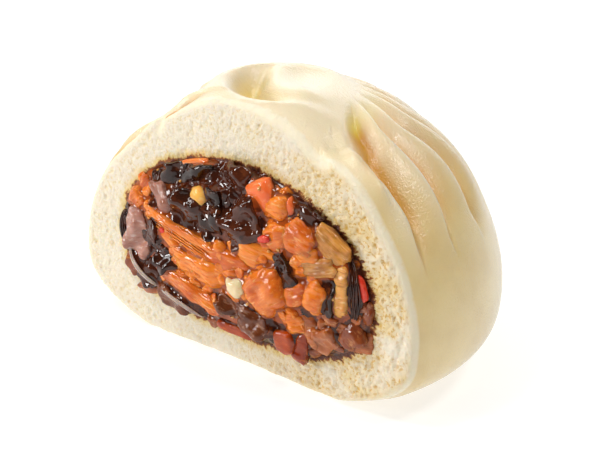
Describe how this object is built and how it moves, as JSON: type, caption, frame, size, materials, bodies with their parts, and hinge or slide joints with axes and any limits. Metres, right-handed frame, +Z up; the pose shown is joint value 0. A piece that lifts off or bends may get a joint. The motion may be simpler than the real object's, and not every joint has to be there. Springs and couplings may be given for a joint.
{
  "type": "steamed pork bun",
  "caption": "Pleated steamed wheat bun with a gathered top, cut open on one side to show its braised pork and wood ear filling. Stands on a flat base.",
  "frame": {"origin": "middle of the whole bun's flat base, on the bun's own axis", "axes": "+Z up along the bun's axis, -Y out of the cut face, +X to the right as one looks at the cut face"},
  "size_m": [0.0921, 0.0674, 0.059],
  "materials": {
    "dough": "smooth, soft satin skin outside and open crumb on the cut face",
    "filling": "wet with brown sauce"
  },
  "bodies": {
    "root": {"bun_dough": "dough", "filling": "filling"}
  },
  "joints": []
}
